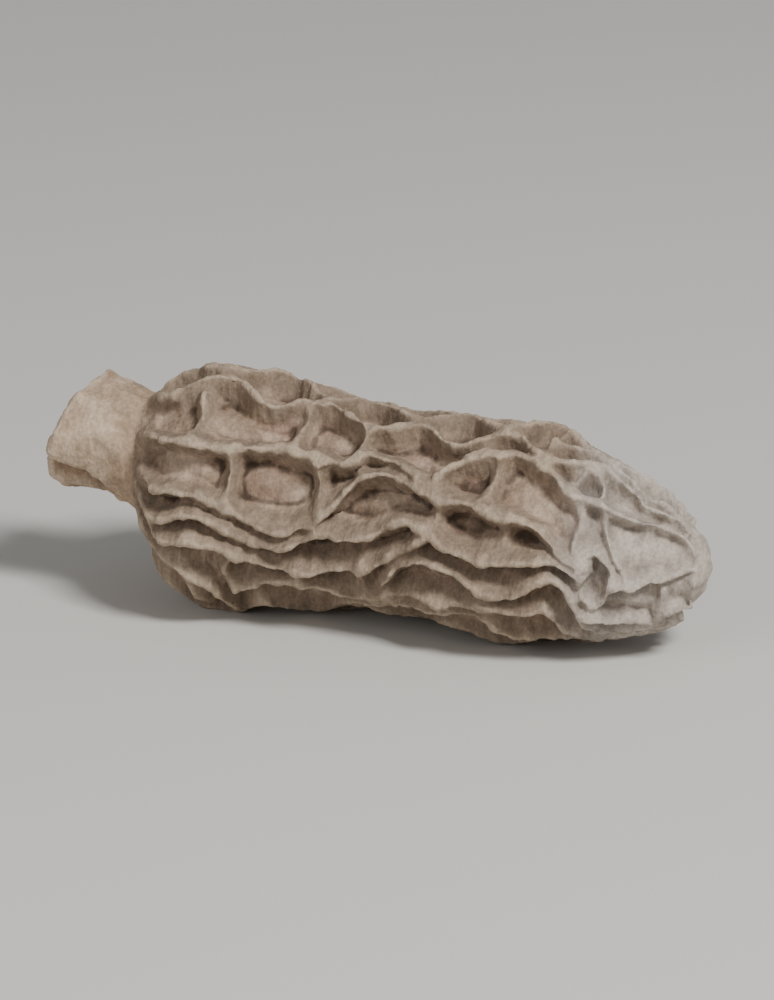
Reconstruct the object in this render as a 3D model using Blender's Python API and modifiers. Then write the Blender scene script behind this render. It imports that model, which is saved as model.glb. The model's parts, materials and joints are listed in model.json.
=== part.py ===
"""A dried morel mushroom lying on its side, in one piece as it grew.

The cap is a hollow, slightly bent cone. Its outside is a raised net: ribs run from the neck to the tip, and
lower cross walls join them round sunken pits. A short stem, cut off below the cap, opens into the same hollow.

The skin is the section's outline turned round the axis. It starts at the blind end of the hollow, comes out
through the mouth of the stem, turns over the lip and runs along the outside to the tip. The net is raised from
it by a formula of the distance to the nearest crest. X runs from the stem's mouth to the tip, and Z up. Lengths
are in millimetres until the mesh is made, and angles round the cap in degrees: 0 faces -Y and 90 is the top.
"""

import math
import random

import bmesh
import bpy
import numpy as np
from mathutils import Vector, kdtree, noise

MM = 0.001
NAME = "dried_morel"

# The section's outline: place along the axis, radius, and how high the ribs stand there.
HOLLOW = (
    (17.8, 0.0, 0.0),
    (16.8, 1.6, 0.0),
    (13.0, 3.1, 0.0),
    (7.0, 3.9, 0.0),
    (0.0, 4.15, 0.0),
    (-6.0, 4.6, 0.0),
    (-10.2, 4.95, 0.0),
    (-12.6, 4.6, 0.0),
    (-15.0, 3.75, 0.0),
    (-17.2, 3.25, 0.0),
    (-19.0, 3.1, 0.0),
    (-20.8, 3.2, 0.0),
)
LIP = (-21.4, 3.45, 0.0)
OUTSIDE = (
    (-20.8, 3.95, 0.0),
    (-19.4, 3.85, 0.0),
    (-17.2, 3.85, 0.0),
    (-15.4, 4.05, 0.2),
    (-14.0, 4.95, 0.85),
    (-12.3, 5.95, 1.5),
    (-10.2, 6.55, 1.65),
    (-6.0, 5.95, 1.75),
    (0.0, 5.45, 1.75),
    (6.0, 5.55, 1.75),
    (11.0, 5.55, 1.7),
    (14.0, 5.1, 1.55),
    (17.5, 4.35, 1.15),
    (20.2, 3.2, 0.85),
    (21.9, 1.9, 0.6),
    (22.7, 0.0, 0.3),
)
STEM_END, NECK = -17.6, -15.0

# The front of the cap, crest by crest: points along each (place along the axis, angle).
FRONT_RIBS = (
    ((-15, 40), (-13, 43), (-9, 40), (-5, 46), (-1, 46), (2, 53), (6, 41)),
    ((6, 46), (8, 60), (11, 69), (13.2, 59), (14.6, 50), (16.3, 51), (18, 47), (19.5, 53), (20.8, 58),
     (21.6, 46), (21.9, 22), (21.9, -8), (21.7, -34)),
    ((-15, 15), (-12, 16), (-9, 13), (-6, 6), (-3.5, 9), (-1.5, 20), (0.5, 37), (3, 43), (8, 34), (12.5, 28),
     (14, 16), (16, 8)),
    ((-15, 7), (-12.4, 0), (-10, 6), (-7, -1), (-4.5, -1), (-1.5, 9), (1.5, 9), (4, 19), (6, 16), (8, 9),
     (12, 7), (14, 9), (16, 2)),
    ((-12.4, -2), (-11.6, -7), (-9, -6), (-6, -12), (-3.5, -16), (0, -11), (2, -6), (4, 2), (6, 16)),
    ((2.5, -16), (4, -5), (6, 0), (8, -6), (10, -13), (11.5, -12), (13, -3), (14, -2), (15, -12), (15.6, -30),
     (17, -46), (20, -52)),
    ((-15, -12), (-13, -17), (-11, -21), (-9.5, -32), (-9, -48), (-8.4, -62)),
    ((-8, -36), (-5.5, -30), (-3.5, -27), (-1.5, -32), (1, -33), (4, -25), (8, -23), (12, -24), (13.2, -22),
     (14, -34), (14.8, -50)),
    ((-2, -58), (0.5, -42), (2.5, -34), (8, -29), (10, -37), (12, -52), (14, -62)),
    ((17.5, -4), (18.3, -3), (19.0, -1), (19.8, 3), (20.8, 7), (21.9, 20)),
    ((12.5, 84), (15, 88), (17, 85), (18.6, 79), (20, 83), (21.2, 70)),
    ((15.8, -26), (17.1, -31), (18.3, -37), (19.5, -47), (20.1, -38), (20.9, -37), (21.6, -50)),
)
FRONT_WALLS = (
    ((-10.4, 41), (-10.6, 70)),
    ((-4.3, 46), (-4, 72)),
    ((0.2, 48), (0.4, 70)),
    ((8.6, 61), (8.8, 86)),
    ((12.4, 64), (12.6, 92)),
    ((-8, 40), (-7.9, 26), (-8.2, 12)),
    ((-2.6, 46), (-2.2, 30), (-2.4, 14)),
    ((6.4, 40), (6.3, 29), (5.7, 18)),
    ((10.3, 31), (10.9, 20), (9.8, 8)),
    ((9.9, 66), (9.6, 50), (9.2, 33)),
    ((15.2, 46), (15.5, 34), (15.3, 22), (15.9, 9)),
    ((-7.2, -10), (-8.4, -22), (-8, -36)),
    ((-3.4, -16), (-3.2, -27)),
    ((0.6, -11), (1, -33)),
    ((9.7, -13), (9.6, -24)),
    ((2.6, -31), (3.4, -46), (3, -64)),
    ((9.8, -25), (10.1, -37)),
    ((-14, -22), (-12.2, -31), (-11, -43), (-10.2, -60)),
    ((-14.2, -37), (-13.2, -47), (-12.4, -62)),
    ((16.6, 50), (16.9, 32), (17.5, 19), (18.2, 6), (18.6, -3)),
    ((20.2, -38), (20.4, -24), (20.5, -10)),
    ((15.8, 13), (16.4, 17), (17.1, 12), (17.5, 1), (17.2, -12), (16.5, -20), (15.9, -15), (15.7, -3),
     (15.8, 13)),
    ((14.5, 60), (15, 71), (15.8, 72), (16.3, 60), (15.9, 50), (15.2, 46), (14.6, 51), (14.5, 60)),
)

# The rest of the cap follows a rule: ribs that zigzag, each against its neighbours, and a wall where two come
# near. Every other rib runs into the next before the tip.
FIRST_ANGLE, LAST_ANGLE, RULE_RIBS = 75, 298, 11
ZIGZAG, WANDER = 5.0, 9.0  # degrees each way
ZIGZAG_LAG, WANDER_LENGTH, WANDER_APART = 0.35, 4.1, 1.7
PIT_LENGTH = 6.4
RIB_ENDS = (-15.0, 20.6)
MERGING = {2: 15.5, 4: 12.5, 6: 17.0, 8: 14.0}  # which ribs run into the next, and where
MERGE_RUN = 6.0
WALL_SLANT, WALL_BOW = 1.2, 0.6  # most, in mm along the cap
LEAST_GAP = 3  # degrees between two ribs that a wall joins
RIM = -14.4  # the wall that closes the pits at the neck
CREST_STEP, RULE_STEP = 0.4, 0.1  # spacing of the points along a crest

# A crest is 1 on its line and falls to 0 at its foot in a hollow curve. A wall is read as never nearer than
# its drop, so it stays lower and rounder than a rib. Near crests flow together, so pits have round corners.
CREST, FOOT, SHARPNESS = 0.10, 1.1, 1.5
WALL_DROP, RIM_DROP, DROP_UNEVENNESS = 0.34, 0.5, 0.5
ROUNDING = 1.3
RIB_UNEVENNESS = 0.14
PILLOW, PILLOW_RUN = 0.18, (0.6, 2.2)  # how much a pit's floor bulges, as a share of the rib height
FINENESS, FINENESS_RUN = 0.35, (13, 18)  # how much narrower the crests get towards the tip
RIM_WAVES = ((0.35, 3, 0.7), (0.2, 7, 0.0))  # mm along the axis, waves round the neck, their turn in radians

# How a full crest leans: over the pit below it, and along the cap. Only its thin edge goes the whole way.
HANG, DRIFT, FULL_HEIGHT = 0.50, 0.35, 1.75
LEAN_SHARPNESS = 1.6

# The seeded noise of each unevenness: the size of its lumps in mm, and where in the noise it is read.
RIB_NOISE, WALL_NOISE = (2.6, 11), (2.2, 23)
HANG_NOISE, DRIFT_NOISE, BODY_NOISE = (3.4, 57), (3.0, 71), (7, 41)

# The stem's soft lengthwise folds: mm, waves round it, their turn in radians. Low on its front one edge of the
# dried skin stands as a flap over a groove: radians from the crease, and mm that the skin stands out there.
STEM_FOLDS = ((0.22, 2, 1.57), (0.09, 3, 0.6), (0.06, 5, 2.0))
FLAP = ((-1.0, 0.0), (-0.62, 0.06), (-0.46, 0.18), (-0.30, -0.30), (-0.16, -0.70), (-0.08, -0.70), (0.06, 0.25),
        (0.14, 0.38), (0.32, 0.26), (0.65, 0.0))
CREASE_ANGLE, CREASE_TWIST = math.radians(-29), -0.10  # at the stem's end, and radians a millimetre
HOLLOW_SHARE = 0.55  # of the folds that show in the hollow
LIP_ROLL, LIP_PLACE, LIP_WIDTH = 0.16, -21.0, 0.45

# The torn mouth: waves as above, and how far it is set back beyond its front, whose half width is in radians.
RAGGED = ((0.15, 3, 1.0), (0.12, 5, 0.0), (0.78, 1, 0.0))
SETBACK, SETBACK_FRONT = 1.5, 0.9
RAGGED_RUN = (-21.9, -18.0)

# The dried body's bends: mm, and the places between which each comes in or fades.
STEM_RISE, BASE_RISE, TIP_DROP = (2.8, -19, -12), (0.8, -14, 0), (1.1, 12, 23)
CAP_SWAY, BASE_SWAY = (2.0, -4, 12), (0.4, -13, -5)
BELLY_ARCH, BELLY_MIDDLE, BELLY_LENGTH, BELLY_DEPTH = 0.9, 3, 6.5, (2.0, 7.5)
LUMPS = 0.05  # share of the radius
WIDENING = 1.03
TABLE_CUT = 0.5  # how much of the lowest crests is flattened where the cap lies
SEED = 7

AROUND = 300  # steps of the turned skin
SKIN_STEP, HOLLOW_STEP = 0.15, 0.4  # spacing of its rings
VOXEL = 0.26
MOST_TRIANGLES = 11200


def smoothstep(value, low, high):
    t = np.clip((value - low) / (high - low), 0, 1)
    return t * t * (3 - 2 * t)


def curve_through(points, step):
    """Points about a step apart on a smooth curve through the given ones (Catmull-Rom)."""
    p = np.array(points, float)
    p = np.vstack([2 * p[0] - p[1], p, 2 * p[-1] - p[-2]])
    rows = []
    for a, b, c, d in zip(p, p[1:], p[2:], p[3:]):
        u = np.linspace(0, 1, max(2, int(np.linalg.norm(c - b) / step)), endpoint=False)[:, None]
        bends = (2 * a - 5 * b + 4 * c - d) * u**2 + (3 * b - a - 3 * c + d) * u**3
        rows.append(0.5 * (2 * b + (c - a) * u + bends))
    return np.vstack([*rows, p[-2:-1]])


HOLLOW_OUTLINE = curve_through((*HOLLOW, LIP), HOLLOW_STEP)[:-1]
SKIN_OUTLINE = curve_through((LIP, *OUTSIDE), SKIN_STEP)


def on_skin(x, degrees):
    """Points of the outside before the net is raised and the body bent."""
    radius = np.interp(x, SKIN_OUTLINE[:, 0], SKIN_OUTLINE[:, 1])
    angle = np.radians(degrees)
    return np.stack([x, -radius * np.cos(angle), radius * np.sin(angle)], axis=-1)


def traced(crests):
    return np.vstack([on_skin(*curve_through(crest, CREST_STEP).T) for crest in crests])


def rule_angle(number, x):
    """Degrees round the cap of a rule-made rib at each x."""
    spacing = (LAST_ANGLE - FIRST_ANGLE) / (RULE_RIBS - 1)
    turn = 2 * math.pi * (x - RIM) / PIT_LENGTH
    side = 1 if number % 2 else -1
    own = FIRST_ANGLE + spacing * number + side * ZIGZAG * np.sin(turn + ZIGZAG_LAG * number)
    spots = [(place / WANDER_LENGTH, WANDER_APART * number, SEED) for place in np.atleast_1d(x)]
    own = own + WANDER * np.array([noise.noise(spot) for spot in spots])
    if number not in MERGING:
        return own
    meets = MERGING[number]
    return own + (rule_angle(number + 1, x) - own) * smoothstep(x, meets - MERGE_RUN, meets)


def rule_ribs():
    lines = []
    for number in range(RULE_RIBS):
        x = np.arange(RIB_ENDS[0], MERGING.get(number, RIB_ENDS[1]), RULE_STEP)
        lines.append(on_skin(x, rule_angle(number, x)))
    return np.vstack(lines)


def rule_walls():
    """A wall at each place where two neighbouring ribs come closest; each bows and slants a little."""
    draw = random.Random(SEED)
    u = np.linspace(0, 1, 40)
    x = np.arange(RIB_ENDS[0] + 1.5, RIB_ENDS[1] - 1, RULE_STEP)
    lines = []
    for number in range(RULE_RIBS - 1):
        gap = rule_angle(number + 1, x) - rule_angle(number, x)
        here, before, after = gap[1:-1], gap[:-2], gap[2:]
        for middle in x[1:-1][(here < before) & (here < after) & (here > LEAST_GAP)]:
            slant = draw.uniform(-WALL_SLANT, WALL_SLANT)
            bow = draw.uniform(-WALL_BOW, WALL_BOW)
            place = middle + slant * (u - 0.5) + bow * np.sin(math.pi * u)
            low, high = rule_angle(number, place), rule_angle(number + 1, place)
            lines.append(on_skin(place, low + (high - low) * u))
    return np.vstack(lines)


def waves(angle, terms):
    """The sum of sines round the axis: each term holds its size, its waves a turn, and where it starts."""
    return sum(size * np.sin(count * angle + start) for size, count, start in terms)


def rim():
    """The wavy wall round the neck, where the ribs start."""
    degrees = np.linspace(0, 360, 400)
    return on_skin(RIM + waves(np.radians(degrees), RIM_WAVES), degrees)


def nearest(lines, points):
    """The distance from each point to the nearest point of the lines."""
    tree = kdtree.KDTree(len(lines))
    for index, point in enumerate(lines):
        tree.insert(point, index)
    tree.balance()
    return np.array([tree.find(point)[2] for point in points])


def rough(points, size, shift):
    """Smooth noise from -1 to 1 whose lumps are about size millimetres across."""
    offset = Vector((shift, 0, 0))
    return np.array([noise.noise(Vector(point) / size + offset) for point in points])


def flowing(first, second):
    """The smaller of two distances, less where they are alike."""
    alike = np.clip(ROUNDING - np.abs(first - second), 0, None) / ROUNDING
    return np.minimum(first, second) - alike**3 * ROUNDING / 6


def net_shares(points):
    """The crests and the bulging floors at each point of the outside, as shares of the full rib height."""
    ribs = np.vstack([traced(FRONT_RIBS), rule_ribs()])
    walls = np.vstack([traced(FRONT_WALLS), rule_walls()])
    finer = 1 + FINENESS * smoothstep(points[:, 0], *FINENESS_RUN)
    drop = WALL_DROP * (1 + DROP_UNEVENNESS * rough(points, *WALL_NOISE))
    wall = np.hypot(finer * nearest(walls, points), drop)
    neck = np.hypot(finer * nearest(rim(), points), RIM_DROP)
    gap = flowing(flowing(finer * nearest(ribs, points), wall), neck)
    crests = (1 - smoothstep(gap, CREST, FOOT)) ** SHARPNESS
    crests *= 1 + RIB_UNEVENNESS * rough(points, *RIB_NOISE)
    return crests, PILLOW * smoothstep(gap, *PILLOW_RUN)


def stem_folds(x, angle):
    """Change of the stem's radius: soft lengthwise folds, the flap over its groove, and the rolled lip."""
    share = 1 - smoothstep(x, STEM_END - 0.5, NECK + 0.6)
    crease = CREASE_ANGLE + CREASE_TWIST * (x - STEM_END)
    off = (angle - crease + math.pi) % (2 * math.pi) - math.pi
    lip = LIP_ROLL * np.exp(-(((x - LIP_PLACE) / LIP_WIDTH) ** 2))
    return share * (waves(angle, STEM_FOLDS) + np.interp(off, *np.transpose(FLAP))) + lip


def torn(x, angle):
    """How far the stem's end is torn back at each angle."""
    setback = SETBACK * (1 - np.exp(-((angle / SETBACK_FRONT) ** 2)))
    return (waves(angle, RAGGED) + setback) * (1 - smoothstep(x, *RAGGED_RUN))


def coming_in(x, bend):
    size, start, end = bend
    return size * smoothstep(x, start, end)


def fading(x, bend):
    return bend[0] - coming_in(x, bend)


def bent(points):
    """The dried body's own shape: lumpy, arched, bent to one side, with the stem set high."""
    x, y, z = points.T
    swell = 1 + LUMPS * rough(points * (0.6, 1, 1), *BODY_NOISE) * smoothstep(x, STEM_END, NECK + 3)
    rise = fading(x, STEM_RISE) + fading(x, BASE_RISE) - coming_in(x, TIP_DROP)
    sway = -coming_in(x, CAP_SWAY) - fading(x, BASE_SWAY)
    belly = BELLY_ARCH * np.exp(-(((x - BELLY_MIDDLE) / BELLY_LENGTH) ** 2)) * smoothstep(-z, *BELLY_DEPTH)
    return np.stack([x, y * swell * WIDENING + sway, z * swell + rise + belly], axis=1)


def turned_skin():
    """The outline turned round the X axis with a Screw modifier, as a plain mesh.

    Every point carries two attributes: the rib height there, and the slope of the outline (its axial part).
    """
    rows = np.vstack([HOLLOW_OUTLINE, SKIN_OUTLINE])
    slope = np.gradient(rows[:, :2], axis=0)
    slope /= np.linalg.norm(slope, axis=1)[:, None]
    slope[: len(HOLLOW_OUTLINE)] = 0
    profile = bpy.data.meshes.new("section")
    flat = [(x, radius, 0) for x, radius, _ in rows * (MM, MM, 1)]
    profile.from_pydata(flat, [(i, i + 1) for i in range(len(flat) - 1)], [])
    for name, values in (("height", rows[:, 2]), ("along", slope[:, 0]), ("outward", slope[:, 1])):
        profile.attributes.new(name, "FLOAT", "POINT").data.foreach_set("value", values)
    section = bpy.data.objects.new("section", profile)
    bpy.context.scene.collection.objects.link(section)
    turning = section.modifiers.new("turning", "SCREW")
    turning.axis = "X"
    turning.steps = turning.render_steps = AROUND
    turning.use_merge_vertices = True
    turning.merge_threshold = 1e-6
    graph = bpy.context.evaluated_depsgraph_get()
    mesh = bpy.data.meshes.new_from_object(section.evaluated_get(graph))
    bpy.data.objects.remove(section)
    return mesh


def values_of(mesh, name):
    values = np.empty(len(mesh.vertices), np.float32)
    mesh.attributes[name].data.foreach_get("value", values)
    return values.astype(float)


def grown(mesh):
    """Where the turned skin's points go: the net raised and leaning, the stem folded, the body bent."""
    flat = np.empty(len(mesh.vertices) * 3, np.float32)
    mesh.vertices.foreach_get("co", flat)
    points = flat.reshape(-1, 3).astype(float) / MM
    height, along, outward = (values_of(mesh, name) for name in ("height", "along", "outward"))
    x, radius = points[:, 0], np.hypot(points[:, 1], points[:, 2])
    angle = np.arctan2(points[:, 2], -points[:, 1])
    radial = np.stack([np.zeros_like(x), -np.cos(angle), np.sin(angle)], axis=1)
    around = np.stack([np.zeros_like(x), np.sin(angle), np.cos(angle)], axis=1)
    axial = np.array((1.0, 0, 0))

    crests, floors = np.zeros((2, len(points)))
    ribbed = height > 0.02
    crests[ribbed], floors[ribbed] = net_shares(points[ribbed])
    over = crests**LEAN_SHARPNESS * height / FULL_HEIGHT
    front = smoothstep(np.cos(angle), -0.5, 0.5)
    hang = over * HANG * (rough(points, *HANG_NOISE) - front)
    drift = over * DRIFT * rough(points, *DRIFT_NOISE)
    lift = height * (crests + floors)

    outer = height + np.abs(along) > 0
    folded = np.where(outer, 1.0, HOLLOW_SHARE) * stem_folds(x, angle) * np.clip(radius / 2, 0, 1)
    points = points + radial * (folded + along * lift)[:, None] + around * hang[:, None]
    points = points + axial * (torn(x, angle) + drift - outward * lift)[:, None]
    return bent(points)


def make_skin():
    """The closed skin of the whole mushroom, lowest crests on the ground and centred, as a fine mesh."""
    mesh = turned_skin()
    points = grown(mesh)
    low, high = points.min(axis=0), points.max(axis=0)
    points -= ((low[0] + high[0]) / 2, (low[1] + high[1]) / 2, low[2] + TABLE_CUT)
    mesh.vertices.foreach_set("co", (points * MM).astype(np.float32).ravel())
    shell = bmesh.new()
    shell.from_mesh(mesh)
    bmesh.ops.remove_doubles(shell, verts=shell.verts, dist=1e-4 * MM)
    bmesh.ops.recalc_face_normals(shell, faces=shell.faces)
    shell.to_mesh(mesh)
    shell.free()
    mesh.name = NAME
    return mesh


def material():
    flesh = bpy.data.materials.new("dried_flesh")
    flesh.use_nodes = True
    shader = flesh.node_tree.nodes["Principled BSDF"]
    shader.inputs["Base Color"].default_value = (0.235, 0.175, 0.125, 1)
    shader.inputs["Roughness"].default_value = 0.9
    shader.inputs["Metallic"].default_value = 0.0
    return flesh


def make_table(collection):
    """The cutter that flattens the crests which the cap lies on."""
    bpy.ops.mesh.primitive_cube_add(size=1, location=(0, 0, -5 * MM))
    table = bpy.context.object
    table.name = "table_cutter"
    table.scale = (60 * MM, 40 * MM, 10 * MM)
    bpy.ops.object.transform_apply(location=False, rotation=False, scale=True)
    table.hide_render = True
    table.display_type = "WIRE"
    for holder in table.users_collection:
        holder.objects.unlink(table)
    collection.objects.link(table)
    return table


def main():
    for old in list(bpy.data.objects):
        bpy.data.objects.remove(old)
    parts = bpy.data.collections.new(NAME)
    cutters = bpy.data.collections.new("cutters")
    for collection in (parts, cutters):
        bpy.context.scene.collection.children.link(collection)

    morel = bpy.data.objects.new(NAME, make_skin())
    parts.objects.link(morel)
    morel.data.materials.append(material())

    joined = morel.modifiers.new("one_skin", "REMESH")
    joined.mode = "VOXEL"
    joined.voxel_size = VOXEL * MM
    graph = bpy.context.evaluated_depsgraph_get()
    fine = 2 * len(morel.evaluated_get(graph).data.polygons)
    fewer = morel.modifiers.new("fewer_faces", "DECIMATE")
    fewer.ratio = MOST_TRIANGLES / fine
    flats = morel.modifiers.new("lying_flats", "BOOLEAN")
    flats.operation = "DIFFERENCE"
    flats.object = make_table(cutters)


main()
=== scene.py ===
# %% [markdown]
# # A dried morel mushroom
#
# A morel's cap looks like a sponge with long cells. It is really one thin hollow skin, thrown up into ribs
# that run from the stem to the tip, with lower walls between them. Dried, the ribs turn pale, thin and
# wavy, and they sag over the darker pits below them.
#
# Such a thing could be sculpted by hand. Here it follows a rule: one smooth turned skin, a set of crest
# lines drawn on it, and a height that depends only on how far each point is from the nearest line. A rule
# is easy to change, and it gives the same mushroom each time.

# %% Load the fixed frame
import json
import math
import random

import bpy
import numpy as np
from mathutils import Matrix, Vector, kdtree, noise

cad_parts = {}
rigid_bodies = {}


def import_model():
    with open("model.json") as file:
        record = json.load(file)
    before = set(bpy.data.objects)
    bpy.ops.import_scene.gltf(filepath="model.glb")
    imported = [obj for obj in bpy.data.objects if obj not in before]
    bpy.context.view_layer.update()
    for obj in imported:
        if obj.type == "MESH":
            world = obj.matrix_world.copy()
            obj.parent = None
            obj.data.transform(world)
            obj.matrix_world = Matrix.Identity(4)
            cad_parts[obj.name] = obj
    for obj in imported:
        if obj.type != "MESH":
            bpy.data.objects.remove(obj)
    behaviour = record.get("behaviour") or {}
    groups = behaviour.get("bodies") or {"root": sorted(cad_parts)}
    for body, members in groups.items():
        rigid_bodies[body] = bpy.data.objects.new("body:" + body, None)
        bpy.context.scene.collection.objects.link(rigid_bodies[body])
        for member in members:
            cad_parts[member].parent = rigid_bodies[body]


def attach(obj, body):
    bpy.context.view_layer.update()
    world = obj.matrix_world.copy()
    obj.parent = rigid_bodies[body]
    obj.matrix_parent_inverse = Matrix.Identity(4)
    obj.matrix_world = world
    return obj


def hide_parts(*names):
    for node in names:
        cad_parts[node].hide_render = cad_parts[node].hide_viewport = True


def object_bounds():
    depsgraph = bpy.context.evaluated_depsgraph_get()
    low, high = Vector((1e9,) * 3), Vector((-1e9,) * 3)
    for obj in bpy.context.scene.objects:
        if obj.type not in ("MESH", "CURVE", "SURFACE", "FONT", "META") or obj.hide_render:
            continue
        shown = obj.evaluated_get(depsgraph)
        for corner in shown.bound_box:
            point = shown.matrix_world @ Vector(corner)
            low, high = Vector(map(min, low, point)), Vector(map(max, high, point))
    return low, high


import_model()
cad_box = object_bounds()
NODE = "dried_morel"
MM = 0.001
low, high = (Vector(corner) for corner in cad_box)
print("the solid's box in mm:", [round(side / MM, 1) for side in high - low])

# %% [markdown]
# ## The section
#
# Cut along its length, the mushroom is one long bent line: it starts at the blind end of the hollow, comes
# out through the stem, turns over the cut lip and runs back along the outside to the tip. Each point holds
# its place along the axis, its radius, and how high the ribs stand there, in millimetres. A smooth curve
# through a few points is enough, so the list stays short.

# %% The section's points
HOLLOW = (
    (17.8, 0.0, 0.0), (16.8, 1.6, 0.0), (13.0, 3.1, 0.0), (7.0, 3.9, 0.0), (0.0, 4.15, 0.0), (-6.0, 4.6, 0.0),
    (-10.2, 4.95, 0.0), (-12.6, 4.6, 0.0), (-15.0, 3.75, 0.0), (-17.2, 3.25, 0.0), (-19.0, 3.1, 0.0),
    (-20.8, 3.2, 0.0),
)
LIP = (-21.4, 3.45, 0.0)
OUTSIDE = (
    (-20.8, 3.95, 0.0), (-19.4, 3.85, 0.0), (-17.2, 3.85, 0.0), (-15.4, 4.05, 0.2), (-14.0, 4.95, 0.85),
    (-12.3, 5.95, 1.5), (-10.2, 6.55, 1.65), (-6.0, 5.95, 1.75), (0.0, 5.45, 1.75), (6.0, 5.55, 1.75),
    (11.0, 5.55, 1.7), (14.0, 5.1, 1.55), (17.5, 4.35, 1.15), (20.2, 3.2, 0.85), (21.9, 1.9, 0.6),
    (22.7, 0.0, 0.3),
)
STEM_END, NECK = -17.6, -15.0
print("points of the section:", len(HOLLOW) + 1 + len(OUTSIDE))


# %% A smooth curve through points
def curve_through(points, step):
    """Points about a step apart on a smooth curve through the given ones (Catmull-Rom)."""
    p = np.array(points, float)
    p = np.vstack([2 * p[0] - p[1], p, 2 * p[-1] - p[-2]])
    rows = []
    for a, b, c, d in zip(p, p[1:], p[2:], p[3:]):
        count = max(2, int(np.linalg.norm(c - b) / step))
        u = np.linspace(0, 1, count, endpoint=False)[:, None]
        square, cube = 2 * a - 5 * b + 4 * c - d, 3 * b - a - 3 * c + d
        rows.append(0.5 * (2 * b + (c - a) * u + square * u**2 + cube * u**3))
    return np.vstack([*rows, p[-2:-1]])


def smoothstep(value, start, end):
    """0 before the start, 1 after the end and a soft S between them."""
    t = np.clip((value - start) / (end - start), 0, 1)
    return t * t * (3 - 2 * t)


HOLLOW_STEP, GUIDE_STEP, SKIN_STEP = 0.3, 0.15, 0.085  # mm between points
hollow_rows = curve_through((*HOLLOW, LIP), HOLLOW_STEP)[:-1]
guide_rows = curve_through((LIP, *OUTSIDE), GUIDE_STEP)
skin_rows = curve_through((LIP, *OUTSIDE), SKIN_STEP)
print("rings:", len(hollow_rows), "inside,", len(skin_rows), "outside")

# %% [markdown]
# ## The crest lines
#
# The front of this cap has a character of its own: two ribs swing apart round a long lens-shaped pit, one
# curls down near the tip, and a fan of thin ones starts at the neck. These are placed one by one, as a
# place along the axis and an angle round it in degrees, where 0 faces the front and 90 is the top.

# %% Ribs and walls of the front
FRONT_RIBS = (
    ((-15, 40), (-13, 43), (-9, 40), (-5, 46), (-1, 46), (2, 53), (6, 41)),
    ((6, 46), (8, 60), (11, 69), (13.2, 59), (14.6, 50), (16.3, 51), (18, 47), (19.5, 53), (20.8, 58),
     (21.6, 46), (21.9, 22), (21.9, -8), (21.7, -34)),
    ((-15, 15), (-12, 16), (-9, 13), (-6, 6), (-3.5, 9), (-1.5, 20), (0.5, 37), (3, 43), (8, 34), (12.5, 28),
     (14, 16), (16, 8)),
    ((-15, 7), (-12.4, 0), (-10, 6), (-7, -1), (-4.5, -1), (-1.5, 9), (1.5, 9), (4, 19), (6, 16), (8, 9),
     (12, 7), (14, 9), (16, 2)),
    ((-12.4, -2), (-11.6, -7), (-9, -6), (-6, -12), (-3.5, -16), (0, -11), (2, -6), (4, 2), (6, 16)),
    ((2.5, -16), (4, -5), (6, 0), (8, -6), (10, -13), (11.5, -12), (13, -3), (14, -2), (15, -12), (15.6, -30),
     (17, -46), (20, -52)),
    ((-15, -12), (-13, -17), (-11, -21), (-9.5, -32), (-9, -48), (-8.4, -62)),
    ((-8, -36), (-5.5, -30), (-3.5, -27), (-1.5, -32), (1, -33), (4, -25), (8, -23), (12, -24), (13.2, -22),
     (14, -34), (14.8, -50)),
    ((-2, -58), (0.5, -42), (2.5, -34), (8, -29), (10, -37), (12, -52), (14, -62)),
    ((17.5, -4), (18.3, -3), (19.0, -1), (19.8, 3), (20.8, 7), (21.9, 20)),
    ((12.5, 84), (15, 88), (17, 85), (18.6, 79), (20, 83), (21.2, 70)),
    ((15.8, -26), (17.1, -31), (18.3, -37), (19.5, -47), (20.1, -38), (20.9, -37), (21.6, -50)),
)
FRONT_WALLS = (
    ((-10.4, 41), (-10.6, 70)),
    ((-4.3, 46), (-4, 72)),
    ((0.2, 48), (0.4, 70)),
    ((8.6, 61), (8.8, 86)),
    ((12.4, 64), (12.6, 92)),
    ((-8, 40), (-7.9, 26), (-8.2, 12)),
    ((-2.6, 46), (-2.2, 30), (-2.4, 14)),
    ((6.4, 40), (6.3, 29), (5.7, 18)),
    ((10.3, 31), (10.9, 20), (9.8, 8)),
    ((9.9, 66), (9.6, 50), (9.2, 33)),
    ((15.2, 46), (15.5, 34), (15.3, 22), (15.9, 9)),
    ((-7.2, -10), (-8.4, -22), (-8, -36)),
    ((-3.4, -16), (-3.2, -27)),
    ((0.6, -11), (1, -33)),
    ((9.7, -13), (9.6, -24)),
    ((2.6, -31), (3.4, -46), (3, -64)),
    ((9.8, -25), (10.1, -37)),
    ((-14, -22), (-12.2, -31), (-11, -43), (-10.2, -60)),
    ((-14.2, -37), (-13.2, -47), (-12.4, -62)),
    ((16.6, 50), (16.9, 32), (17.5, 19), (18.2, 6), (18.6, -3)),
    ((20.2, -38), (20.4, -24), (20.5, -10)),
    ((15.8, 13), (16.4, 17), (17.1, 12), (17.5, 1), (17.2, -12), (16.5, -20), (15.9, -15), (15.7, -3),
     (15.8, 13)),
    ((14.5, 60), (15.0, 71), (15.8, 72), (16.3, 60), (15.9, 50), (15.2, 46), (14.6, 51), (14.5, 60)),
)
print(len(FRONT_RIBS), "ribs and", len(FRONT_WALLS), "walls placed by hand")


# %% Draw a line on the skin
CREST_STEP = 0.4  # mm between the points of a line


def on_skin(x, degrees):
    """Points of the outside before the net is raised and the body bent."""
    radius = np.interp(x, guide_rows[:, 0], guide_rows[:, 1])
    angle = np.radians(degrees)
    return np.stack([x, -radius * np.cos(angle), radius * np.sin(angle)], axis=-1)


def traced(crests):
    return [on_skin(*curve_through(crest, CREST_STEP).T) for crest in crests]


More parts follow.
